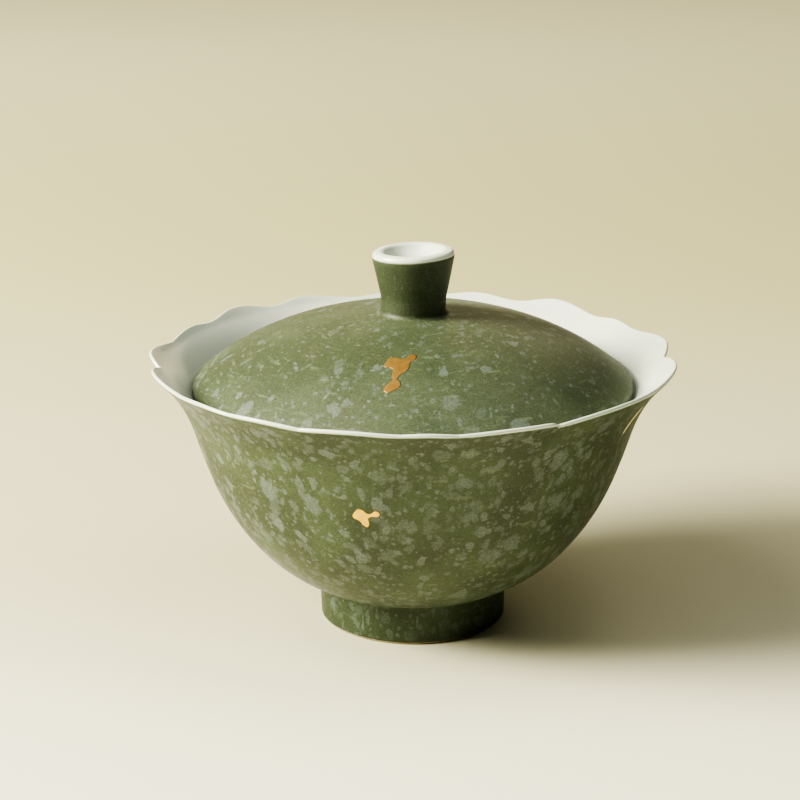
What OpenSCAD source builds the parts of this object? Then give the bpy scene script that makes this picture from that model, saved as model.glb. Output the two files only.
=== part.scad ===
// Lidded tea bowl (gaiwan): a flared bowl with a hand-cut petal rim, and a domed lid
// with a dished knob. Green glaze outside, white glazed porcelain inside, gold flecks.
// Millimetres, +Z up. The origin is the centre of the foot, on the surface it stands on.
// The front of the bowl faces -Y, and angles round the bowl grow towards +X.

/* [Bowl] */
// Diameter across the mouth, over the petal tips; it scales the curves of bowl and lid
mouth_d = 111; // [104:1:118]
// Thickness of the porcelain wall below the flare
wall_t = 2.7; // [2.4:0.1:2.9]
// Thickness of the porcelain at the lip
lip_t = 0.8; // [0.8:0.1:1.4]
// Inset of the green glaze from the petals' edge, which leaves a white band
band_w = 0.7; // [0.5:0.1:1.5]

/* [Foot] */
// Width of the foot ring's bottom face, with its rounded edges
foot_w = 3.0; // [2.5:0.1:3.5]
// Height of the bare porcelain line under the glaze
bare_h = 0.6; // [0.5:0.1:1.0]

/* [Lid] */
// Thickness of the porcelain lid
lid_t = 2.0; // [1.6:0.1:2.4]
// Length of the knob's straight side
knob_side_h = 8.0; // [6:0.5:10]
// Lean of the knob's side from upright, outwards
knob_lean = 11.5; // [8:0.5:14]

/* [Finish] */
// Thickness of the green glaze
glaze_t = 0.3; // [0.2:0.05:0.4]
// Thickness of a gold fleck
gold_t = 0.12; // [0.1:0.02:0.2]

/* [Hidden] */

$fn = 96;
scale_k = mouth_d / 111;

porcelain = [0.93, 0.93, 0.9];
green = [0.42, 0.46, 0.27];
gold = [0.85, 0.65, 0.3];

// The rim, from the back round the front. Each petal is a round arc, from its notch to the
// next one: [angle of the notch, radius in the notch, radius at the petal's tip]
petals = [
    [-166, 54.4, 55.5], [-144, 54.4, 55.8], [-123, 54.4, 55], [-104, 54.3, 55.9],
    [-85, 53.6, 55.8], [-58, 54.8, 55.5], [-42, 55, 55.4], [-24, 54.8, 55.4],
    [-2, 54.9, 55.3], [13, 54.7, 55.2], [32, 54.2, 55.6], [63, 54.5, 55.7],
    [93, 53.7, 55.7], [116, 54.4, 54.9], [130, 54.3, 55.9], [153, 54.4, 55.4], [173, 54.6, 55.3]
];

// ---- paths: lists of [radius, height, heading in degrees] ----

// A bend turns at most this much from one point to the next, and has at least four points
arc_step = 3;
fine_step = 0.6;

function first(list) = list[0];
function last(list) = list[len(list) - 1];
function tail(list) = [for (i = [1:len(list) - 1]) list[i]];
function head(list) = [for (i = [0:len(list) - 2]) list[i]];
function reversed(list) = [for (i = [len(list) - 1:-1:0]) list[i]];
function flat(points) = [for (p = points) [p[0], p[1]]];
// A path moved to its left by t
function shifted(points, t) =
    [for (p = points) [p[0] - t * sin(p[2]), p[1] + t * cos(p[2]), p[2]]];

function straight(p, length) = [[p[0] + length * cos(p[2]), p[1] + length * sin(p[2]), p[2]]];

function bend(p, radius, to) =
    let (
        turn = to - p[2],
        side = sign(turn),
        arc_length = abs(turn) * radius * PI / 180,
        count = ceil(max(4, min(abs(turn) / arc_step, arc_length / fine_step)))
    )
    [for (i = [1:count])
        let (heading = p[2] + turn * i / count)
        [p[0] + side * radius * (sin(heading) - sin(p[2])),
         p[1] + side * radius * (cos(p[2]) - cos(heading)),
         heading]];

// Each step is [radius of the bend, new heading], or [length, same heading] for a straight
function path(p, steps, i = 0) =
    i == len(steps) ? [p] :
    let (leg = steps[i][1] == p[2] ? straight(p, steps[i][0]) : bend(p, steps[i][0], steps[i][1]))
    concat([p], head(leg), path(last(leg), steps, i + 1));

// ---- bowl outlines, on the outside of the glaze unless they say otherwise ----

under = path([0, 4.7 * scale_k, 0], [[55.1 * scale_k, 21.5]]);
foot_top = last(under);
flank = path(foot_top, [
    [36.2 * scale_k, 48], [49.3 * scale_k, 69], [143 * scale_k, 73.3],
    [30 * scale_k, 43], [2.6 * scale_k, 43]
]);

// The wall keeps its thickness up to the flare, and thins from there to the lip
flare_z = 46 * scale_k;
flare_h = last(flank)[1] - flare_z;
thinning = 1.6;
function wall_at(z) = wall_t - (wall_t - lip_t) * pow(max(0, z - flare_z) / flare_h, thinning);
body_out = shifted(concat(under, tail(flank)), glaze_t);
body_in = [for (p = body_out) first(flat(shifted([p], wall_at(p[1]))))];

foot_r = foot_top[0] - 0.3;
foot_core_r = foot_r - glaze_t;
foot_in_r = foot_core_r - foot_w;
// The foot's inner face leans in by this much from the bottom to the top
foot_draft = 0.5;
foot_edge = 0.4;

// ---- lid outlines, on the outside of the glaze ----

// Slope of the dome where the knob's fillet meets it
knob_slope = 4.65;
crown = path([0, 67.5 * scale_k, 0], [[98 * scale_k, -knob_slope]]);
knob_foot = last(crown);
shoulder = path(knob_foot, [[98 * scale_k, -13.3], [58.3 * scale_k, -39]]);
lid_edge = path(last(shoulder), [[2.4, -90], [0.4, -90]]);
lid_rim = path(last(lid_edge), [[0.8, -180], [0.7, -180]]);

// Up the knob from the dome: a fillet, an upright neck and the leaning side. Then over its
// white ring, and down into the dish.
neck_heading = 89;
knob_heading = 90 - knob_lean;
dish_slope = 70;
knob_side = path([knob_foot[0], knob_foot[1], 180 - knob_slope],
    [[1.2, neck_heading], [1.7, neck_heading], [9, knob_heading], [knob_side_h, knob_heading]]);
knob_ring = path(last(knob_side), [[0.85, 180], [0.7, 180 + dish_slope]]);
dish_r = last(knob_ring)[0] / sin(dish_slope);
knob_dish = path(last(knob_ring), [[dish_r, 180]]);

// ---- gold flecks: outlines as seen square on, x to the right and y up the surface ----

bowl_fleck = [
    [-2.9, 0.1], [-1.6, 1.7], [-0.6, 1.7], [0.4, 0.9], [1.3, 1.1], [2.0, 1.7], [2.8, 0.9],
    [2.3, 0.1], [0.9, 0], [0.5, -1.8], [-0.1, -2.6], [-1.4, -1.4], [-2.7, -0.6]
];
side_fleck = [
    [-1.4, -3], [-0.4, -2.6], [1.0, 0.2], [1.6, 2.6], [0.7, 3.2], [-0.6, 1.4], [-1.5, -1.2]
];
lid_fleck = [
    [-3.0, 2.0], [-2.4, 4.6], [0.8, 4.6], [2.4, 6.5], [3.4, 5.4], [2.3, 3.4], [2.1, 0.8],
    [0.6, -1.1], [0.6, -2.6], [1.2, -3.8], [0, -5.9], [-1.2, -6.7], [-2.4, -5.6],
    [-0.8, -2.8], [-1.0, 0.6], [-1.6, 1.2], [-2.8, 1.2]
];

// ---- petal rim ----

function on_rim(angle, r) = scale_k * r * [sin(angle), -cos(angle)];
function next_petal(i) = i + 1 < len(petals) ? petals[i + 1] : petals[0] + [360, 0, 0];
// Centre of the circle through three points
function circle_centre(a, b, c) =
    let (d = 2 * (a.x * (b.y - c.y) + b.x * (c.y - a.y) + c.x * (a.y - b.y)))
    [(a * a * (b.y - c.y) + b * b * (c.y - a.y) + c * c * (a.y - b.y)) / d,
     (a * a * (c.x - b.x) + b * b * (a.x - c.x) + c * c * (b.x - a.x)) / d];

// Upright block with the rim's outline: one round petal from each notch to the next
module petal_block(inset) {
    block_h = 80 * scale_k;
    cylinder(h = block_h, r = 51 * scale_k);
    for (i = [0:len(petals) - 1]) {
        a = petals[i];
        b = next_petal(i);
        tip = on_rim((a[0] + b[0]) / 2, a[2]);
        centre = circle_centre(on_rim(a[0], a[1]), tip, on_rim(b[0], b[1]));
        translate([centre.x, centre.y, 0])
            cylinder(h = block_h, r = norm(tip - centre) - inset);
    }
}

// ---- sub-parts ----

// Thrown porcelain bowl, cut at the lip to the petal outline
module bowl_shell() {
    color(porcelain)
    intersection() {
        rotate_extrude() polygon(concat(flat(body_out), reversed(body_in)));
        petal_block(0);
    }
}

// Turned ring luted under the bowl, with a bare bottom edge
module foot_ring() {
    roof = flat(shifted(under, glaze_t));
    top_r = foot_in_r - foot_draft;
    color(porcelain)
    rotate_extrude()
        polygon(concat(
            [[top_r, lookup(top_r, roof)],
             [foot_in_r, foot_edge],
             [foot_in_r + foot_edge, 0],
             [foot_core_r - foot_edge, 0],
             [foot_core_r, foot_edge],
             [foot_core_r, bare_h]],
            reversed([for (p = roof) if (p.x > top_r) p])
        ));
}

// Green coat over the outside of the bowl and down the foot
module bowl_glaze() {
    color(green)
    intersection() {
        rotate_extrude()
            polygon(concat(
                [[foot_r, bare_h]],
                flat(flank),
                reversed(flat(shifted(flank, glaze_t))),
                [[foot_core_r, bare_h]]
            ));
        petal_block(band_w);
    }
}

// Patch of gold leaf on a surface, centred at height z and turned round the axis.
// side is 1 where the outside is on the left of the surface's path, and -1 on the right.
module gold_fleck(outline, surface, z, turn, side) {
    r = lookup(z, [for (p = surface) [p[1], p[0]]]);
    heading = lookup(z, [for (p = surface) [p[1], p[2]]]);
    reach = 10;
    skin = [for (p = surface) if (norm([p[0] - r, p[1] - z]) < reach) p];
    color(gold)
    intersection() {
        rotate_extrude()
            polygon(concat(flat(skin), reversed(flat(shifted(skin, side * gold_t)))));
        rotate([0, 0, turn])
            translate([0, -r, z])
                rotate([side > 0 ? -heading : 180 - heading, 0, 0])
                    translate([0, 0, -reach / 2])
                        linear_extrude(reach) polygon(outline);
    }
}

// Fleck on the front of the bowl
module bowl_gold_fleck_front() {
    gold_fleck(scale_k * bowl_fleck, flank, 37.6 * scale_k, -12, -1);
}

// Fleck high on the right of the bowl
module bowl_gold_fleck_side() {
    gold_fleck(scale_k * side_fleck, flank, 50.4 * scale_k, 64, -1);
}

// Domed porcelain lid with a plain rounded edge
module lid_shell() {
    dome = concat(crown, tail(shoulder));
    color(porcelain)
    rotate_extrude()
        polygon(concat(
            flat(shifted(concat(dome, tail(lid_edge)), -glaze_t)),
            flat(lid_rim),
            reversed(flat(shifted(dome, -glaze_t - lid_t)))
        ));
}

// Knob luted to the lid: a leaning stem, a white ring and a glazed dish
module lid_knob() {
    color(porcelain)
    rotate_extrude()
        polygon(concat(
            flat(shifted(crown, -glaze_t)),
            tail(flat(shifted(knob_side, glaze_t))),
            flat(knob_ring),
            tail(head(flat(knob_dish))),
            [[0, last(knob_dish)[1]]]
        ));
}

// Green coat over the lid and up the knob, in one piece
module lid_glaze() {
    outside = concat(shoulder, tail(lid_edge));
    color(green)
    rotate_extrude()
        polygon(concat(
            reversed(flat(outside)),
            tail(flat(knob_side)),
            reversed(flat(shifted(knob_side, glaze_t))),
            tail(flat(shifted(outside, -glaze_t)))
        ));
}

// Fleck on the front of the lid
module lid_gold_fleck() {
    gold_fleck(scale_k * lid_fleck, concat(crown, tail(shoulder)), 62.85 * scale_k, -6.5, 1);
}

bowl_shell();
foot_ring();
bowl_glaze();
bowl_gold_fleck_front();
bowl_gold_fleck_side();
lid_shell();
lid_knob();
lid_glaze();
lid_gold_fleck();
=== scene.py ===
"""The looks of a lidded tea bowl (gaiwan): hand-cut petal rim, speckled green glaze, white
porcelain inside and gold flecks. Outlines are in millimetres and every object in metres."""
import math
from collections import Counter

import bpy
import numpy as np
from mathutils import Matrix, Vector, noise


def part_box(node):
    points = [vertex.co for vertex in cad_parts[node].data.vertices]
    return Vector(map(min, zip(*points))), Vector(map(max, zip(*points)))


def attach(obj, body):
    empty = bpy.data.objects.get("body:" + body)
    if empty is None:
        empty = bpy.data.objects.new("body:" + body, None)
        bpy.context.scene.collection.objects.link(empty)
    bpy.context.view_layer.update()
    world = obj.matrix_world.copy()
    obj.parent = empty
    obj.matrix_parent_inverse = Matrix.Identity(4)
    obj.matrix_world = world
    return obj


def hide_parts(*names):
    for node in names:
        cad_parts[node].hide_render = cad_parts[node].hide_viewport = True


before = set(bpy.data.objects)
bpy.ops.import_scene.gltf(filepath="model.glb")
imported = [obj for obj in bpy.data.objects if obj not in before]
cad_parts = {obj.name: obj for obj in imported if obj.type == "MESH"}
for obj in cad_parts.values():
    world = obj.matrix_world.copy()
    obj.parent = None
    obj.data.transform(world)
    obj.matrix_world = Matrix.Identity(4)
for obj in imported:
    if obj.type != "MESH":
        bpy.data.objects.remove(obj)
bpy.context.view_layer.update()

# ---------------------------------------------------------------- sizes, in millimetres

MM = 0.001

# Underside of the bowl, in the middle of the foot's recess
UNDERSIDE_Z = 4.7
# Height where the green coat starts, above the foot's bare edge
GLAZE_FOOT_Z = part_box("bowl_glaze")[0].z / MM
FOOT_R = 19.9
FOOT_RING_IN_R = 16.6
DOME_TOP_Z = 67.5

# Thickness of the green coats, the walls and the gold
COAT = 0.14
WALL = 2.7
LIP = 0.75
LID_WALL = 2.0
GOLD = 0.1

# How far the bowl's coat, the lid's coat and the gold are sunk into what they lie on
BOWL_COAT_SUNK = 0.1
LID_COAT_SUNK = 0.08
GOLD_SUNK = 0.12
GOLD_EDGE_SUNK = 0.01

# The wall thins to the lip's thickness between these heights
THINS_FROM_Z = 48.5
FLARE_TOP_Z = 56

# How much higher the rim is than its outline: the mean, what the high side has more, and that
# side's angle. The lift grows from RAISED_FROM_Z to the top of the flare.
RIM_LIFT = 0.3
RIM_LEAN = 0.22
RIM_HIGH_ANGLE = 20
RAISED_FROM_Z = 44

# The coat ends this share of the lip's thickness inside the rim's edge, and a white band below
# that. The band has a mean width, wanders, and is narrower at a notch.
COAT_END = 0.16
BAND = 0.02
BAND_WANDER = 0.14
BAND_NOTCH_LOSS = 0.28

# The rim, from the back round the front. Each row is a notch and the petal after it: the
# notch's angle and radius, how rounded the notch is, and the petal tip's angle and radius.
# Angles grow from the front towards +X.
PETALS = [
    (-166, 54.4, 1.0, -152, 55.5), (-144, 54.5, 1.0, -133.5, 55.8), (-123, 54.5, 0.9, -116, 55.0),
    (-104.5, 54.4, 0.7, -90.5, 55.9), (-85, 53.7, 0.15, -73, 55.8), (-58, 54.9, 0.4, -50, 55.5),
    (-42, 55.1, 0.6, -34, 55.5), (-24, 54.75, 0.1, -13, 55.45), (-3, 54.9, 0.6, 2, 55.2),
    (8.8, 54.6, 0.4, 22, 55.2), (30.7, 54.2, 0.0, 48, 55.6), (63, 54.9, 0.3, 77, 55.7),
    (93, 53.8, 0.1, 101, 55.7), (115.7, 54.5, 0.9, 123, 54.9), (129.5, 54.4, 0.9, 143, 55.9),
    (153.4, 54.5, 1.0, 164, 55.4), (173, 54.7, 1.0, 183, 55.3),
]

# ---------------------------------------------------------------- outlines
# An outline is an array of rows [radius, height, heading in degrees].


def bend(start, radius, to, step=1.5):
    """Arc of that radius that turns the heading from the start's to the given one."""
    r, z, heading = start
    turn = to - heading
    side = np.sign(turn)
    count = max(4, math.ceil(abs(turn) / step))
    angles = np.radians(heading + turn * np.arange(1, count + 1) / count)
    begin = math.radians(heading)
    out_r = r + side * radius * (np.sin(angles) - math.sin(begin))
    out_z = z + side * radius * (math.cos(begin) - np.cos(angles))
    return np.column_stack([out_r, out_z, np.degrees(angles)])


def straight(start, length, spacing=0.5):
    """Line of that length along the start's heading."""
    r, z, heading = start
    count = max(1, math.ceil(length / spacing))
    along = length * np.arange(1, count + 1) / count
    turn = math.radians(heading)
    return np.column_stack([r + along * math.cos(turn), z + along * math.sin(turn),
                            np.full(count, heading)])


def outline(start, legs):
    """Each leg is (radius of the bend, new heading), or (length, same heading) for a line."""
    points = np.array([start], float)
    for size, heading in legs:
        here = points[-1]
        leg = straight(here, size) if heading == here[2] else bend(here, size, heading)
        points = np.vstack([points, leg])
    return points


def shifted(points, distance):
    """The outline moved to its left, by one distance or by one for each row."""
    turn = np.radians(points[:, 2])
    out = points.copy()
    out[:, 0] -= distance * np.sin(turn)
    out[:, 1] += distance * np.cos(turn)
    return out


def arc_lengths(points):
    steps = np.hypot(np.diff(points[:, 0]), np.diff(points[:, 1]))
    return np.concatenate([[0], np.cumsum(steps)])


def sampled(points, places):
    """The outline's rows at those distances along it."""
    lengths = arc_lengths(points)
    return np.column_stack([np.interp(places, lengths, points[:, i]) for i in range(3)])


UNDER = outline((0, UNDERSIDE_Z, 0), [(55.1, 21.5)])
FLANK = outline(UNDER[-1], [(36.2, 48), (49.3, 69), (143, 73.3), (30, 43), (2.6, 43)])

# Slope of the dome where the knob's fillet starts
KNOB_SLOPE = 4.65
CROWN = outline((0, DOME_TOP_Z, 0), [(98, -KNOB_SLOPE)])
DOME = outline(CROWN[-1], [(98, -13.3), (58.3, -39)])
LID_TOP = np.vstack([CROWN, DOME[1:]])
LID_EDGE = outline(DOME[-1], [(2.4, -90), (0.4, -90)])
KNOB_SIDE = outline((CROWN[-1][0], CROWN[-1][1], 180 - KNOB_SLOPE),
                    [(1.2, 89), (1.7, 89), (9, 78.5), (8.2, 78.5)])

# ---------------------------------------------------------------- petal rim


def rim_angles(steps_per_petal=44):
    """Angles round the rim in degrees, with one exactly on every notch."""
    ends = [p[0] for p in PETALS] + [PETALS[0][0] + 360]
    parts = [np.linspace(a, b, steps_per_petal, endpoint=False) for a, b in zip(ends, ends[1:])]
    return np.concatenate(parts)


def rim_radius(angle):
    """Radius of the rim's outermost edge at that angle."""
    place = (angle - PETALS[0][0]) % 360 + PETALS[0][0]
    rows = PETALS + [(PETALS[0][0] + 360,) + PETALS[0][1:]]
    for here, after in zip(rows, rows[1:]):
        if place < after[0]:
            break
    tip_angle, tip_r = here[3], here[4]
    notch = here if place < tip_angle else after
    away = abs(place - tip_angle) / abs(notch[0] - tip_angle)
    round_off = 0.5 - 0.5 * math.cos(math.pi * away)
    # A notch with no roundness is a step down at the end of its petal
    power = 9 if notch is after and notch[2] == 0 else 2.2
    fall = notch[2] * round_off + (1 - notch[2]) * away ** power
    return tip_r - (tip_r - notch[1]) * fall


def smooth_step(low, high, x):
    """0 up to low and 1 from high, with a smooth rise between."""
    share = np.clip((x - low) / (high - low), 0, 1)
    return share * share * (3 - 2 * share)


def raised(height, angle):
    """The flare's height at that angle: the hand-cut rim isn't level, and is highest in front."""
    lift = RIM_LIFT + RIM_LEAN * np.cos(np.radians(angle - RIM_HIGH_ANGLE))
    return height + lift * smooth_step(RAISED_FROM_Z, FLARE_TOP_Z, height)


def wall_at(z):
    """Thickness of the bowl's wall, which thins over the flare."""
    flare = np.clip((z - THINS_FROM_Z) / (FLARE_TOP_Z - THINS_FROM_Z), 0, 1)
    return WALL - (WALL - LIP) * flare ** 1.5


def rim_end(reach, lengths, rim):
    """Distance along the skin at which its reach, a radius, comes to the rim's."""
    upper = lengths > lengths[-1] * 0.6
    return np.interp(rim, reach[upper], lengths[upper])


def rounded_off(from_edge, radius):
    """Share of a coat's full thickness at that distance from its rounded edge."""
    return np.sqrt(np.clip(from_edge / radius, 0, 1))


# ---------------------------------------------------------------- mesh building


def wobble(point, size, seed):
    """Smooth random value from about -1 to 1 at a point in millimetres."""
    return noise.noise(Vector(point) / size + Vector((seed, -seed, 2 * seed)))


def finish_mesh(name, vertices, faces, material, attributes=()):
    """Makes the object from vertices in millimetres, with smooth shading.

    faces is a list of arrays, each of faces with the same number of corners.
    """
    corners = np.concatenate([f.ravel() for f in faces])
    sizes = np.concatenate([np.full(len(f), f.shape[1]) for f in faces])
    mesh = bpy.data.meshes.new(name)
    mesh.vertices.add(len(vertices))
    mesh.vertices.foreach_set("co", (vertices * MM).ravel())
    mesh.loops.add(len(corners))
    mesh.loops.foreach_set("vertex_index", corners)
    mesh.polygons.add(len(sizes))
    mesh.polygons.foreach_set("loop_start", np.cumsum(sizes) - sizes)
    mesh.update(calc_edges=True)
    for key, values in attributes:
        data = mesh.attributes.new(key, "FLOAT_VECTOR", "POINT").data
        data.foreach_set("vector", values.ravel())
    mesh.shade_smooth()
    mesh.materials.append(material)
    piece = bpy.data.objects.new(name, mesh)
    bpy.context.scene.collection.objects.link(piece)
    return piece


def turned(name, rings, angles, material, along=None, from_edge=None):
    """Closed skin over rings[i, j] = (radius, height) at angle i and outline place j.

    An outline end on the axis becomes one vertex; otherwise the outline closes on itself.
    along is each place's distance along the surface, for the material's skin attribute, and
    from_edge its distance from the coat's upper edge.
    """
    count, places = rings.shape[:2]
    turn = np.radians(angles)[:, None] * np.ones(places)
    x = rings[:, :, 0] * np.sin(turn)
    y = -rings[:, :, 0] * np.cos(turn)
    vertices = np.stack([x, y, rings[:, :, 1]], axis=-1).reshape(-1, 3)
    index = np.arange(count * places).reshape(count, places)
    beside = np.roll(index, -1, axis=0)
    if np.abs(rings[:, -1, 0]).max() > 1e-6:
        index = np.column_stack([index, index[:, 0]])
        beside = np.column_stack([beside, beside[:, 0]])
    quads = np.stack([index[:, :-1], beside[:, :-1], beside[:, 1:], index[:, 1:]], axis=-1)
    faces = [quads.reshape(-1, 4)]
    keep = np.ones(count * places, bool)
    if index.shape[1] == places:
        low, high = index[0, 0], index[0, -1]
        faces = [quads[:, 1:-1].reshape(-1, 4),
                 np.stack([np.full(count, low), beside[:, 1], index[:, 1]], axis=-1),
                 np.stack([index[:, -2], beside[:, -2], np.full(count, high)], axis=-1)]
        keep[index[1:, [0, -1]].ravel()] = False
    renumber = np.cumsum(keep) - 1
    attributes = []
    if along is not None:
        skin = np.stack([np.sin(turn), -np.cos(turn), along], axis=-1)
        edge = np.stack([from_edge] * 3, axis=-1)
        attributes.append(("skin", skin.reshape(-1, 3)[keep]))
        attributes.append(("from_edge", edge.reshape(-1, 3)[keep]))
    return finish_mesh(name, vertices[keep], [renumber[f] for f in faces], material, attributes)


# ---------------------------------------------------------------- colours and node helpers


def srgb(red, green, blue):
    """Linear colour from 0-255 display values."""
    def linear(value):
        value /= 255
        return value / 12.92 if value <= 0.04045 else ((value + 0.055) / 1.055) ** 2.4
    return (linear(red), linear(green), linear(blue), 1)


class Graph:
    """A material's node tree, with one short call for each kind of node."""

    def __init__(self, name):
        self.material = bpy.data.materials.new(name)
        self.material.use_nodes = True
        self.tree = self.material.node_tree
        self.shader = self.tree.nodes["Principled BSDF"]

    def put(self, socket, value):
        if isinstance(value, bpy.types.NodeSocket):
            self.tree.links.new(value, socket)
        else:
            socket.default_value = value

    def node(self, kind, values=(), **settings):
        made = self.tree.nodes.new(kind)
        for key, value in settings.items():
            setattr(made, key, value)
        for key, value in dict(values).items():
            self.put(made.inputs[key], value)
        return made

    def math(self, operation, a, b):
        return self.node("ShaderNodeMath", {0: a, 1: b}, operation=operation).outputs[0]

    def vector_math(self, operation, a, b):
        return self.node("ShaderNodeVectorMath", {0: a, 1: b}, operation=operation).outputs[0]

    def ramp(self, value, low, high, to_low=0.0, to_high=1.0):
        """Smooth step of value from low to high."""
        made = self.node("ShaderNodeMapRange", {"Value": value, "From Min": low, "From Max": high,
                                                "To Min": to_low, "To Max": to_high},
                         interpolation_type="SMOOTHSTEP")
        return made.outputs["Result"]

    def mix(self, factor, a, b, blend="MIX"):
        made = self.node("ShaderNodeMix", {0: factor}, data_type="RGBA", blend_type=blend)
        self.put(made.inputs[6], a)
        self.put(made.inputs[7], b)
        return made.outputs[2]

    def place(self):
        """Position on the piece, in millimetres."""
        position = self.node("ShaderNodeTexCoord").outputs["Object"]
        return self.vector_math("MULTIPLY", position, (1 / MM,) * 3)

    def along(self, vector, axis):
        """The vector's X, Y or Z."""
        return self.node("ShaderNodeSeparateXYZ", {0: vector}).outputs[axis]

    def attribute(self, name):
        return self.node("ShaderNodeAttribute", attribute_name=name)

    def noise(self, vector, size, detail=2.0, roughness=0.5):
        """Value of about 0.5 give or take 0.2, with features of that size."""
        made = self.node("ShaderNodeTexNoise", {"Vector": vector, "Scale": 1 / size,
                                                "Detail": detail, "Roughness": roughness})
        return made.outputs["Fac"]

    def warp(self, vector, size, amount):
        """The vector pushed about by noise, which makes outlines ragged."""
        made = self.node("ShaderNodeTexNoise", {"Vector": vector, "Scale": 1 / size, "Detail": 2.0})
        centred = self.vector_math("SUBTRACT", made.outputs["Color"], (0.5, 0.5, 0.5))
        pushed = self.vector_math("MULTIPLY", centred, (2 * amount,) * 3)
        return self.vector_math("ADD", vector, pushed)

    def cells(self, vector, size):
        """Distance to the nearest of scattered points, and that point's own random colour."""
        made = self.node("ShaderNodeTexVoronoi", {"Vector": vector, "Scale": 1 / size})
        return made.outputs["Distance"], made.outputs["Color"]

    def bump(self, height, distance, strength):
        values = {"Height": height, "Distance": distance, "Strength": strength}
        return self.node("ShaderNodeBump", values).outputs["Normal"]

    def shade(self, **values):
        """Sets the shader's sockets; an underscore in a name stands for a space."""
        for key, value in values.items():
            self.put(self.shader.inputs[key.replace("_", " ")], value)
        return self.material


def stretched(g, vector, towards, stretch):
    """The vector squeezed along one direction, which stretches a pattern along it."""
    along = Vector(towards).normalized()
    reach = g.node("ShaderNodeVectorMath", {0: vector, 1: along}, operation="DOT_PRODUCT")
    change = g.math("MULTIPLY", reach.outputs["Value"], 1 / stretch - 1)
    step = g.node("ShaderNodeVectorMath", {0: along, "Scale": change}, operation="SCALE")
    return g.vector_math("ADD", vector, step.outputs[0])


def flakes(g, vector, size, share, soft=0.15, ragged=0.3):
    """Mask of scattered flakes. size is the spacing, share how many places hold one."""
    torn = g.warp(g.warp(vector, size * 0.6, size * ragged), size * 0.2, size * ragged * 0.3)
    distance, colour = g.cells(torn, size)
    chance = g.node("ShaderNodeSeparateColor", {0: colour})
    reach = g.ramp(chance.outputs[0], 1 - share, 1, 0.0, 0.5)
    opacity = g.ramp(chance.outputs[1], 0, 1, 0.45, 1)
    return g.math("MULTIPLY", g.ramp(g.math("SUBTRACT", reach, distance), 0.0, soft), opacity)


def needles(g, vector, towards, length, width, share):
    """Mask of thin straight scratches that all run roughly the same way."""
    bent = g.warp(vector, length * 1.5, length * 0.12)
    return flakes(g, stretched(g, bent, towards, length / width), width, share, 0.2, 0.05)


def either(g, *masks):
    """The largest of the masks."""
    result = masks[0]
    for mask in masks[1:]:
        result = g.math("MAXIMUM", result, mask)
    return result


# ---------------------------------------------------------------- materials


def pinhole(g, place, angle, height, size):
    """Mask of a tiny pit in the glaze of the bowl's flank, painted near black as the shade inside
    it.
    """
    turn = math.radians(angle)
    radius = np.interp(height, FLANK[:, 1], FLANK[:, 0])
    centre = (radius * math.sin(turn), -radius * math.cos(turn), raised(height, angle))
    away = g.node("ShaderNodeVectorMath", {0: place, 1: centre}, operation="DISTANCE")
    return g.ramp(away.outputs["Value"], size * 0.6, size, 1, 0)


def mottled(g, place, light, dark, brown):
    """Colour of the coat under its flakes, which drifts between the three."""
    patches = g.noise(place, 14, 3)
    warm_patches = g.noise(g.vector_math("ADD", place, (40, 7, 19)), 9, 3)
    green = g.mix(g.ramp(patches, 0.38, 0.62), dark, light)
    return g.mix(g.ramp(warm_patches, 0.48, 0.68, 0, 0.45), green, brown)


def flaked(g, green, flake, place, skin, flake_sets, upright_share, clear):
    """The coat with pale flakes over it. clear is a mask of how clearly it shows them."""
    fill = g.ramp(g.noise(place, 0.8, 3, 0.7), 0.3, 0.56, 0.5, 0.92)
    spots = []
    for size, share, towards, stretch in flake_sets:
        # Each set is moved by its own amount, so that no two line up
        moved = g.vector_math("ADD", place, (7 * size, 0, 3 * size))
        spots.append(flakes(g, stretched(g, moved, towards, stretch), size, share))
    mask = g.math("MULTIPLY", either(g, *spots), fill)
    green = g.mix(g.math("MULTIPLY", mask, clear), green, flake)
    upright = flakes(g, g.vector_math("MULTIPLY", skin, (36, 36, 0.45)), 1.9, upright_share)
    return g.mix(g.math("MULTIPLY", upright, fill), green, flake)


def scratch_mask(g, place, skin, needle_sets, bands, round_share, runs_where):
    """Mask of thin streaks: ribbons and long flakes round the axis, upright runs, needles."""
    around = g.vector_math("MULTIPLY", skin, (6, 6, 1))
    ribbons = g.ramp(g.noise(around, 0.8, 2, 0.6), 0.56, 0.72, 0, bands)
    up = g.vector_math("MULTIPLY", skin, (24, 24, 0.25))
    runs = g.math("MULTIPLY", g.ramp(g.noise(up, 1.1, 2, 0.6), 0.5, 0.72), runs_where)
    round_ones = flakes(g, g.vector_math("MULTIPLY", skin, (9, 9, 1)), 0.95, round_share)
    return either(g, ribbons, runs, round_ones,
                  *[needles(g, place, *needle) for needle in needle_sets])


def edged(g, green, dark):
    """The coat darker in a strip just below its upper edge, painted shade as under the lip's flare,
    and pale where it ends.
    """
    from_edge = g.attribute("from_edge").outputs["Fac"]
    # Painted shade: a darker strip a little below the coat's upper edge
    shade_under_edge = g.math("MULTIPLY", g.ramp(from_edge, 0.1, 0.5), g.ramp(from_edge, 0.6, 1.6, 1, 0))
    green = g.mix(g.math("MULTIPLY", shade_under_edge, 0.5), green, dark)
    return g.mix(g.ramp(from_edge, 0, 0.25, 0.6, 0), green, srgb(150, 154, 128))


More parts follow.
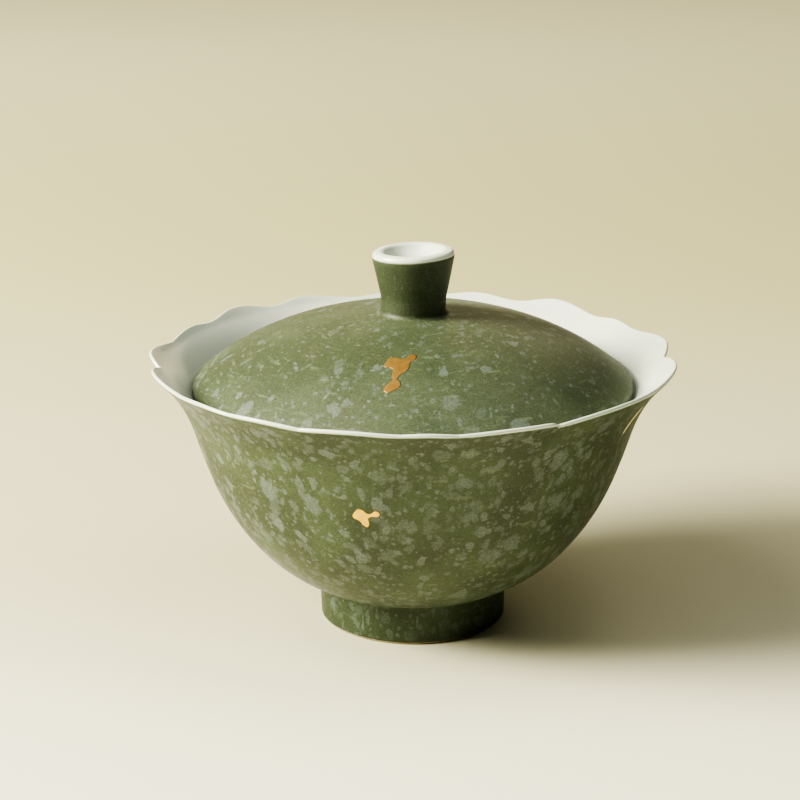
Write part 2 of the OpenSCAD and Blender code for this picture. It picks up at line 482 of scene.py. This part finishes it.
def speckled_glaze(name, *, greens, flake, streak, thick_at, thick_shade, thick_flakes,
                   thick_runs, flake_sets, needle_sets, bands, upright_share, round_share, sheen,
                   pinholes=()):
    """Satin green glaze with pale ragged flakes, fine grain and thin scratch-like streaks.

    greens are the light, dark and brown colours of the coat under the flakes.
    thick_at(g, place) is a mask of where the coat is thick: it is darker there, and
    thick_flakes and thick_runs are how clearly it shows flakes and upright runs.
    flake_sets are spacing, share, direction and stretch; needle_sets are direction, length,
    width and share. bands is how clear the streaks round the axis are, upright_share and
    round_share the share of long flakes that run up the side and round it, and pinholes are
    angle, height and radius.
    """
    g = Graph(name)
    place = g.place()
    skin = g.attribute("skin").outputs["Vector"]
    thick = thick_at(g, place)
    light, dark, brown = greens
    green = mottled(g, place, light, dark, brown)
    green = flaked(g, green, flake, place, skin, flake_sets, upright_share,
                   g.ramp(thick, 0, 1, 1, thick_flakes))
    scratches = scratch_mask(g, place, skin, needle_sets, bands, round_share,
                             g.math("MULTIPLY", thick, thick_runs))
    green = g.mix(g.math("MULTIPLY", scratches, 0.6), green, streak)
    grain = g.noise(place, 0.42, 3, 0.7)
    speck = g.mix(g.ramp(grain, 0.3, 0.7), (0.7, 0.7, 0.68, 1), (1.27, 1.27, 1.3, 1))
    green = g.mix(1.0, green, speck, "MULTIPLY")
    green = g.mix(thick, green, g.mix(1.0, green, thick_shade, "MULTIPLY"))
    # Painted shade just below the coat's upper edge, and the coat paler where it ends
    green = edged(g, green, dark)
    for pit in pinholes:
        # Painted shade: each pit is a near-black dot in the colour, not a hole in the mesh
        green = g.mix(pinhole(g, place, *pit), green, srgb(20, 20, 14))

    normal = g.bump(grain, 0.04 * MM, 0.5)
    return g.shade(Base_Color=green, Roughness=0.55, IOR=1.55, Normal=normal, Sheen_Weight=sheen,
                   Sheen_Roughness=0.3, Sheen_Tint=(0.95, 0.97, 0.9, 1))


# Heights between which the thick coat of the foot fades out, and that of the knob fades in
FOOT_COAT_TOP = (8.2, 8.9)
KNOB_COAT_START = (67.1, 68.1)


def on_foot(g, place):
    """Mask of the foot's side, under the bowl."""
    return g.ramp(g.along(place, "Z"), *FOOT_COAT_TOP, 1, 0)


def on_knob(g, place):
    """Mask of the knob's side and its fillet, above the dome."""
    return g.ramp(g.along(place, "Z"), *KNOB_COAT_START)


def white_porcelain():
    """Clear gloss glaze over white porcelain, with a faint cool and warm drift."""
    g = Graph("white_porcelain")
    place = g.place()
    drift = g.ramp(g.noise(place, 18, 2), 0.35, 0.65)
    colour = g.mix(drift, srgb(207, 217, 206), srgb(203, 214, 204))
    ripple = g.bump(g.noise(place, 7, 2), 0.05 * MM, 0.35)
    return g.shade(Base_Color=colour, Roughness=g.ramp(drift, 0, 1, 0.16, 0.22), Normal=ripple)


def bare_porcelain():
    """Ground, unglazed foot with a little stain in its grain."""
    g = Graph("bare_porcelain")
    place = g.place()
    grain = g.noise(place, 0.5, 4, 0.7)
    colour = g.mix(g.ramp(grain, 0.35, 0.7), srgb(140, 133, 104), srgb(168, 161, 132))
    return g.shade(Base_Color=colour, Roughness=0.75, Normal=g.bump(grain, 0.05 * MM, 0.6))


def gold_leaf(name, light, dark):
    """Gold leaf over the glaze, finely wrinkled, with a thin dark outline."""
    g = Graph(name)
    place = g.place()
    patches = g.noise(place, 1.6, 3, 0.6)
    colour = g.mix(g.ramp(patches, 0.35, 0.65), dark, light)
    edge = g.ramp(g.attribute("from_edge").outputs["Fac"], 0.02, 0.2)
    colour = g.mix(edge, srgb(96, 70, 34), colour)
    wrinkles = g.bump(g.noise(place, 0.5, 3, 0.6), 0.06 * MM, 0.5)
    rough = g.ramp(patches, 0.3, 0.7, 0.5, 0.36)
    return g.shade(Base_Color=colour, Metallic=0.55, Roughness=rough, Normal=wrinkles)


def paper():
    """Pale seamless paper, with painted light: brighter at the front and darker and warmer towards
    the back.
    """
    g = Graph("paper")
    place = g.place()
    depth = g.along(place, "Y")
    fibre = g.noise(place, 2.0, 3, 0.6)
    # Painted light and shade: the colour ramps with depth, as the light falls off across the stage
    colour = g.mix(g.ramp(depth, -110, 40), srgb(224, 226, 207), srgb(193, 192, 163))
    colour = g.mix(g.ramp(depth, 60, 320), colour, srgb(186, 185, 140))
    colour = g.mix(g.ramp(depth, 350, 900), colour, srgb(208, 207, 170))
    return g.shade(Base_Color=colour, Roughness=0.9, Normal=g.bump(fibre, 0.02 * MM, 0.2))


WHITE = white_porcelain()
BARE = bare_porcelain()

# Flakes: spacing in millimetres, share, and the direction and amount of stretch
BOWL_FLAKES = [
    (4.8, 0.55, (0, 0, 1), 1.2), (3.2, 0.65, (1, 0, -0.5), 1.6), (2.5, 0.6, (0.3, 0, 1), 1.6),
    (2.2, 0.7, (-0.4, 0.2, 1), 1.8), (1.5, 0.7, (0, 0, 1), 1.2), (0.9, 0.5, (1, 0, 0), 1.3),
]
LID_FLAKES = [
    (4.4, 0.2, (0.5, 1, 0), 1.3), (2.6, 0.25, (0.3, 1, 0), 1.4), (1.9, 0.26, (0.5, 1, 0), 2.0),
    (1.1, 0.45, (-0.3, 1, 0), 1.5),
]

# Scratches: direction, length and width in millimetres, and share
BOWL_NEEDLES = [((0.5, -0.1, -0.9), 7, 0.45, 0.2), ((1, 0.2, 0.6), 6, 0.45, 0.2)]
LID_NEEDLES = [
    ((1, 0.5, 0), 9, 0.4, 0.22), ((0.5, 1, 0.3), 7, 0.4, 0.16), ((0.3, -1, 0), 6, 0.35, 0.16),
]

BOWL_GREEN = speckled_glaze(
    "bowl_green", greens=(srgb(68, 82, 51), srgb(54, 66, 39), srgb(61, 65, 41)),
    flake=srgb(99, 109, 101), streak=srgb(102, 113, 85), thick_at=on_foot,
    thick_shade=(0.64, 0.73, 0.64, 1), thick_flakes=0.9, thick_runs=0, flake_sets=BOWL_FLAKES,
    needle_sets=BOWL_NEEDLES, bands=0.2, upright_share=0.55, round_share=0.1, sheen=0.1,
    pinholes=[(25.9, 56.15, 0.6), (-33.6, 27.2, 0.35)])
LID_GREEN = speckled_glaze(
    "lid_green", greens=(srgb(73, 86, 60), srgb(63, 76, 51), srgb(71, 76, 52)),
    flake=srgb(98, 111, 102), streak=srgb(103, 115, 92), thick_at=on_knob,
    thick_shade=(0.49, 0.53, 0.43, 1), thick_flakes=0.2, thick_runs=0.4, flake_sets=LID_FLAKES,
    needle_sets=LID_NEEDLES, bands=0.5, upright_share=0.15, round_share=0.3, sheen=0.1)
BRIGHT_GOLD = gold_leaf("bright_gold", srgb(248, 210, 94), srgb(240, 196, 80))
# The side fleck's gold is painted pale: a painted reflection of the bright backdrop on the bowl's
# shaded side
GOLD_PAINTED_REFLECTION = gold_leaf("gold_painted_reflection", srgb(252, 240, 200), srgb(240, 224, 172))
ORANGE_GOLD = gold_leaf("orange_gold", srgb(166, 138, 80), srgb(150, 118, 64))

# ---------------------------------------------------------------- bowl


def lip_arc(outer_end, inner_end, count=12):
    """Half-round lip from the outer skin's end to the inner skin's end."""
    centre = (outer_end + inner_end) / 2
    arm = outer_end - centre
    angles = np.pi * np.arange(1, count) / count
    return [centre + arm * math.cos(a) + np.array([-arm[1], arm[0]]) * math.sin(a)
            for a in angles]


def bowl_rings(angles, rims):
    """Porcelain outline at each angle: up the outside, round the lip and down the inside."""
    outside = shifted(np.vstack([UNDER, FLANK[1:]]), COAT)
    lengths = arc_lengths(outside)
    # The half-round lip reaches half a wall's thickness past the middle of the wall
    half_walls = wall_at(outside[:, 1]) / 2
    reach = shifted(outside, half_walls)[:, 0] + half_walls
    shares = np.linspace(0, 1, 90)
    rings = []
    for rim in rims:
        end = rim_end(reach, lengths, rim)
        skin = sampled(outside, end * shares)
        inner = shifted(skin, wall_at(skin[:, 1]))[:, :2]
        lip = lip_arc(skin[-1, :2], inner[-1])
        rings.append(np.vstack([skin[:, :2], lip, inner[::-1]]))
    rings = np.array(rings)
    rings[:, :, 1] = raised(rings[:, :, 1], angles[:, None])
    return rings


def make_bowl_shell(angles, rims):
    rings = bowl_rings(angles, rims)
    rings[:, 0, 0] = 0
    rings[:, -1, 0] = 0
    shell = turned("bowl_shell_petalled", rings, angles, WHITE)
    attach(shell, "bowl")
    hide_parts("bowl_shell")


def band_width(angle):
    """White band between the lip and the green coat: it narrows at the notches."""
    nearest = min(abs((angle - p[0] + 180) % 360 - 180) for p in PETALS)
    point = (math.sin(math.radians(angle)), math.cos(math.radians(angle)), 0)
    at_notch = 1 - smooth_step(0, 4, nearest)
    return BAND + BAND_WANDER * wobble(point, 0.16, 3) - BAND_NOTCH_LOSS * at_notch


def make_bowl_glaze(angles, rims):
    """Coat from the foot's bare line up the foot's side and the flank to the white band."""
    side_heading = 88
    foot = outline((FOOT_R, GLAZE_FOOT_Z, side_heading), [(7.1, side_heading), (0.7, 23)])
    flank = FLANK[FLANK[:, 0] > foot[-1, 0] + 0.2]
    skin = np.vstack([foot, flank])
    lengths = arc_lengths(skin)
    # Rows as shares of the coat's length, closer together on the foot and at the upper edge
    shares = np.concatenate([np.linspace(0, 0.13, 30, endpoint=False),
                             np.linspace(0.13, 0.97, 110),
                             np.linspace(0.973, 1, 14)])
    rings, along, edges = [], [], []
    for angle, rim in zip(angles, rims):
        end = rim_end(skin[:, 0], lengths, rim - LIP * COAT_END) - band_width(angle)
        places = end * shares
        thin = COAT * (1 - rounded_off(end - places, 0.5))
        outer = shifted(sampled(skin, places), thin)[:, :2]
        back = places[::-8]
        inner = shifted(sampled(skin, back), COAT + BOWL_COAT_SUNK)[:, :2]
        rings.append(np.vstack([outer, inner]))
        along.append(np.concatenate([places, back]))
        edges.append(end - along[-1])
    rings = np.array(rings)
    rings[:, :, 1] = raised(rings[:, :, 1], angles[:, None])
    coat = turned("bowl_glaze_coat", rings, angles, BOWL_GREEN, np.array(along), np.array(edges))
    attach(coat, "bowl")
    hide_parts("bowl_glaze")


def make_foot_ring(angles):
    """Porcelain ring with a rounded bottom edge, set into the bowl's underside."""
    outer_r = FOOT_R - COAT
    edge = 0.5
    ring = outline((FOOT_RING_IN_R + edge, 0, 0),
                   [(outer_r - FOOT_RING_IN_R - 2 * edge, 0), (edge, 88), (7.8, 88)])
    inner = outline((FOOT_RING_IN_R + edge, 0, 180), [(edge, 92), (7.0, 92)])
    profile = np.vstack([ring, inner[:0:-1]])[:, :2]
    rings = np.repeat(profile[None], len(angles), axis=0)
    foot = turned("foot_ring_turned", rings, angles, BARE)
    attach(foot, "bowl")
    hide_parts("foot_ring")


# ---------------------------------------------------------------- lid

KNOB_TILT = math.tan(math.radians(2.2))
KNOB_TILT_TOWARDS = math.radians(70)
# Heights of the knob's foot, its waist and its ring
KNOB_FOOT_Z = 68
KNOB_WAIST_Z = 72
KNOB_RING_Z = 79.5
# How steep the dish in the knob's top is at its edge, in degrees
DISH_SLOPE = 56


def hand_knob(rings, angles):
    """Tilts the knob's top and leaves soft finger dents down its side."""
    out = rings.copy()
    turn = np.radians(angles)[:, None]
    radius, height = rings[:, :, 0], rings[:, :, 1]
    tilt = KNOB_TILT * smooth_step(KNOB_WAIST_Z, KNOB_RING_Z, height)
    out[:, :, 1] += tilt * radius * np.cos(turn - KNOB_TILT_TOWARDS)
    dents = 0.010 * np.sin(3 * turn + 0.22 * height) + 0.006 * np.sin(5 * turn + 1.0)
    out[:, :, 0] *= 1 + dents * smooth_step(KNOB_FOOT_Z, KNOB_WAIST_Z, height)
    return out


def make_lid_shell(angles):
    """White underside and edge of the lid."""
    top = shifted(np.vstack([LID_TOP, LID_EDGE[1:]]), -COAT)
    rim = outline(LID_EDGE[-1], [(0.8, -180), (0.7, -180)])
    under = shifted(LID_TOP, -COAT - LID_WALL)
    profile = np.vstack([under, rim[::-1], top[::-1]])[:, :2]
    rings = np.repeat(profile[None], len(angles), axis=0)
    lid = turned("lid_shell_domed", rings, angles, WHITE)
    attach(lid, "lid")
    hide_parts("lid_shell")


def make_knob(angles):
    """White ring and glazed dish on top of the knob, with its core down to the dome."""
    side = shifted(KNOB_SIDE, COAT)
    ring = outline(side[-1], [(0.85, 174), (0.6, 174), (1.3, 180 + DISH_SLOPE)])
    dish = outline(ring[-1], [(ring[-1, 0] / math.sin(math.radians(DISH_SLOPE)), 180)])
    profile = np.vstack([side, ring[1:], dish[1:]])[:, :2]
    profile = np.vstack([[0, side[0, 1] - 0.5], profile])
    profile[-1, 0] = 0
    rings = hand_knob(np.repeat(profile[None], len(angles), axis=0), angles)
    knob = turned("lid_knob_dished", rings, angles, WHITE)
    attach(knob, "lid")
    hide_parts("lid_knob")


def make_lid_glaze(angles):
    """Coat over the dome's edge, the dome and up the knob to its white ring."""
    outside = np.vstack([DOME, LID_EDGE[1:]])
    skin = np.vstack([outside[::-1], KNOB_SIDE[1:]])
    skin[:len(outside), 2] += 180
    end = arc_lengths(skin)[-1]
    # Rows are closer together on the knob, the last 13 mm
    places = np.concatenate([np.linspace(0, end - 13, 150), np.linspace(end - 12.9, end, 70)])
    face = sampled(skin, places)
    outer = shifted(face, COAT * (1 - rounded_off(end - places, 0.4)))
    inner = shifted(face, COAT + LID_COAT_SUNK)[::-1]
    profile = np.vstack([outer, inner])[:, :2]
    rings = hand_knob(np.repeat(profile[None], len(angles), axis=0), angles)
    along = np.repeat(np.concatenate([places, places[::-1]])[None], len(angles), axis=0)
    coat = turned("lid_glaze_coat", rings, angles, LID_GREEN, along, end - along)
    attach(coat, "lid")
    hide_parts("lid_glaze")


# ---------------------------------------------------------------- gold flecks
# Outlines as seen square on: x to the right and y up the surface.

BOWL_FLECK = [
    (-2.9, 0.0), (-2.5, 0.9), (-1.7, 1.7), (-0.8, 1.8), (0.1, 1.0), (0.9, 0.9), (1.6, 1.5),
    (2.3, 1.6), (2.8, 0.9), (2.3, 0.1), (1.0, 0.0), (0.4, -0.5), (0.5, -1.8), (0.0, -2.7),
    (-0.8, -2.3), (-1.6, -1.2), (-2.6, -0.7),
]
SIDE_FLECK = [
    (-1.4, -2.8), (-0.6, -2.7), (0.5, -0.6), (1.3, 1.4), (1.6, 3.4), (0.7, 3.5), (-0.4, 1.4),
    (-1.2, -0.8),
]
LID_FLECK = [
    (-3.0, 2.0), (-2.6, 3.2), (-2.3, 4.7), (-0.9, 5.0), (0.9, 4.6), (1.4, 5.3), (2.2, 6.4),
    (3.2, 6.0), (3.3, 4.5), (2.4, 3.5), (2.3, 1.6), (1.8, 0.1), (0.8, -1.0), (0.4, -2.3),
    (1.1, -3.6), (0.9, -5.0), (-0.2, -6.0), (-1.2, -6.7), (-2.2, -5.9), (-1.8, -4.3),
    (-0.8, -2.8), (-1.0, -1.0), (-1.0, 0.6), (-1.7, 1.2), (-2.6, 1.3),
]


def rounded(points, steps=8):
    """Closed smooth curve through the points (Catmull-Rom)."""
    p = np.array(points, float)
    before, after, beyond = np.roll(p, 1, 0), np.roll(p, -1, 0), np.roll(p, -2, 0)
    curve = []
    for t in np.arange(steps) / steps:
        curve.append(0.5 * (2 * p + (after - before) * t
                            + (2 * before - 5 * p + 4 * after - beyond) * t ** 2
                            + (3 * p - before - 3 * after + beyond) * t ** 3))
    return np.stack(curve, axis=1).reshape(-1, 2)


def inside(curve, x, y):
    """Whether the point is inside the closed curve."""
    x0, y0 = curve[:, 0], curve[:, 1]
    x1, y1 = np.roll(x0, -1), np.roll(y0, -1)
    crossing = (y0 > y) != (y1 > y)
    with np.errstate(divide="ignore", invalid="ignore"):
        cut = x0 + (y - y0) * (x1 - x0) / (y1 - y0)
    return bool(np.count_nonzero(crossing & (x < cut)) % 2)


def corners_of(i, j):
    return [(i, j), (i + 1, j), (i + 1, j + 1), (i, j + 1)]


def fleck_grid(curve, cell=0.14):
    """Square cells inside the curve, and their corners' numbers, places and depths.

    A depth is the distance from the curve. The places on the border are drawn nearly out to
    it: all the way, two of them could meet at one point.
    """
    low, high = curve.min(0) - cell, curve.max(0) + cell
    xs, ys = np.arange(low[0], high[0], cell), np.arange(low[1], high[1], cell)
    cells = [(i, j) for i in range(len(xs) - 1) for j in range(len(ys) - 1)
             if inside(curve, xs[i] + cell / 2, ys[j] + cell / 2)]
    uses = Counter(corner for i, j in cells for corner in corners_of(i, j))
    numbers = {corner: number for number, corner in enumerate(uses)}
    flat = np.array([(xs[i], ys[j]) for i, j in uses])
    border = np.array([count < 4 for count in uses.values()])
    gaps = np.linalg.norm(flat[:, None] - curve[None], axis=2)
    flat[border] += 0.9 * (curve[gaps[border].argmin(1)] - flat[border])
    return cells, numbers, flat, np.where(border, 0, gaps.min(1))


def fleck_faces(cells, numbers):
    """Faces of the top, of the bottom, whose corners come after the top's, and of the edge."""
    count = len(numbers)
    filled = set(cells)
    faces = []
    for i, j in cells:
        quad = [numbers[corner] for corner in corners_of(i, j)]
        faces.append(quad)
        faces.append([c + count for c in reversed(quad)])
        neighbours = [(i, j - 1), (i + 1, j), (i, j + 1), (i - 1, j)]
        for neighbour, a, b in zip(neighbours, quad, quad[1:] + quad[:1]):
            if neighbour not in filled:
                faces.append([b, a, a + count, b + count])
    return np.array(faces)


def laid(flat, lift, skin, at_z, at_angle, body):
    """Flat places laid on the skin round that height and angle, and lifted off it."""
    lengths = arc_lengths(skin)
    rising = np.argsort(skin[:, 1])
    start = np.interp(at_z, skin[rising, 1], lengths[rising])
    # The bowl's skin runs up with its outside on the right, the lid's runs down
    upward, outside = (1, -1) if body == "bowl" else (-1, 1)
    face = sampled(skin, start + upward * flat[:, 1])
    lifted = shifted(face, outside * lift)
    radius, height = lifted[:, 0], lifted[:, 1]
    angle = math.radians(at_angle) + flat[:, 0] / face[:, 0]
    if body == "bowl":
        height = raised(height, np.degrees(angle))
    return np.column_stack([radius * np.sin(angle), -radius * np.cos(angle), height])


def make_fleck(name, points, skin, at_z, at_angle, body, node, material):
    """Thin patch of gold with a rounded edge, laid on the body's skin."""
    cells, numbers, flat, depth = fleck_grid(rounded(points))
    top = GOLD * rounded_off(depth, 0.25) - GOLD_EDGE_SUNK
    lifts = [top, np.full(len(flat), -GOLD_SUNK)]
    vertices = np.vstack([laid(flat, lift, skin, at_z, at_angle, body) for lift in lifts])
    edge = np.repeat(np.concatenate([depth, depth])[:, None], 3, axis=1)
    fleck = finish_mesh(name, vertices, [fleck_faces(cells, numbers)], material,
                        [("from_edge", edge)])
    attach(fleck, body)
    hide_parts(node)


# ---------------------------------------------------------------- stage, lights, camera


def make_floor():
    size = 6.0
    mesh = bpy.data.meshes.new("floor")
    corners = [(-size, -size, 0), (size, -size, 0), (size, size, 0), (-size, size, 0)]
    mesh.from_pydata(corners, [], [[0, 1, 2, 3]])
    mesh.materials.append(paper())
    floor = bpy.data.objects.new("floor", mesh)
    bpy.context.scene.collection.objects.link(floor)


# Each soft light: its name, degrees in front of the left side, degrees above the floor,
# distance, width and height in metres, power in watts and colour.
LIGHTS = [
    ("key", 12, 30, 1.4, 0.62, 0.5, 62, (1, 0.92, 0.76)),
    ("upper", 12, 56, 1.4, 0.6, 0.5, 6, (1, 0.92, 0.76)),
    ("overhead", 0, 90, 3.0, 2.2, 2.2, 15, (1, 0.97, 0.95)),
    ("behind", -90, 24, 3.0, 2.2, 2.2, 18, (1, 0.86, 0.5)),
    ("right", 180, 62, 3.0, 2.2, 2.2, 21, (1, 0.94, 0.85)),
]
LIGHT_AIM_Z = 30


def make_light(name, around, up, far, width, height, power, colour):
    """Soft rectangular light aimed at the object."""
    light = bpy.data.lights.new(name, "AREA")
    light.shape = "RECTANGLE"
    light.size = width
    light.size_y = height
    light.energy = power
    light.color = colour
    holder = bpy.data.objects.new(name, light)
    around, up = math.radians(around), math.radians(up)
    direction = Vector((-math.cos(up) * math.cos(around), -math.cos(up) * math.sin(around),
                        math.sin(up)))
    holder.location = far * direction + Vector((0, 0, LIGHT_AIM_Z * MM))
    holder.rotation_euler = direction.to_track_quat("Z", "Y").to_euler()
    bpy.context.scene.collection.objects.link(holder)


def make_lights():
    """Soft warm light from the left, with weak fill from above, behind and the right."""
    for light in LIGHTS:
        make_light(*light)
    world = bpy.data.worlds.new("studio")
    world.use_nodes = True
    world.node_tree.nodes["Background"].inputs["Strength"].default_value = 0
    bpy.context.scene.world = world
    view = bpy.context.scene.view_settings
    view.view_transform = "AgX"
    view.look = "AgX - High Contrast"


def make_camera():
    """100 mm lens, 17.2 degrees above the horizon, aimed a little left of the axis."""
    pitch = math.radians(17.21)
    distance = 0.4735
    aim_z = 0.04797
    aside = -0.00277
    camera = bpy.data.cameras.new("camera")
    camera.lens = 100
    camera.sensor_width = 36
    holder = bpy.data.objects.new("camera", camera)
    holder.location = (aside, -distance * math.cos(pitch), aim_z + distance * math.sin(pitch))
    holder.rotation_euler = (math.pi / 2 - pitch, 0, 0)
    bpy.context.scene.collection.objects.link(holder)
    bpy.context.scene.camera = holder


# ---------------------------------------------------------------- scene

make_camera()
make_lights()
make_floor()

ANGLES = rim_angles()
RIMS = np.array([rim_radius(a) for a in ANGLES])
make_bowl_shell(ANGLES, RIMS)
make_bowl_glaze(ANGLES, RIMS)
EVEN_ANGLES = np.linspace(-180, 180, 360, endpoint=False)
make_foot_ring(EVEN_ANGLES)
make_lid_shell(EVEN_ANGLES)
make_knob(EVEN_ANGLES)
make_lid_glaze(EVEN_ANGLES)
make_fleck("bowl_fleck_front_leaf", BOWL_FLECK, FLANK, 37.6, -12, "bowl",
           "bowl_gold_fleck_front", BRIGHT_GOLD)
# Gold with a painted reflection of the bright backdrop
make_fleck("bowl_fleck_side_leaf", SIDE_FLECK, FLANK, 50.4, 62.5, "bowl",
           "bowl_gold_fleck_side", GOLD_PAINTED_REFLECTION)
make_fleck("lid_fleck_leaf", LID_FLECK, LID_TOP, 62.85, -6.5, "lid",
           "lid_gold_fleck", ORANGE_GOLD)
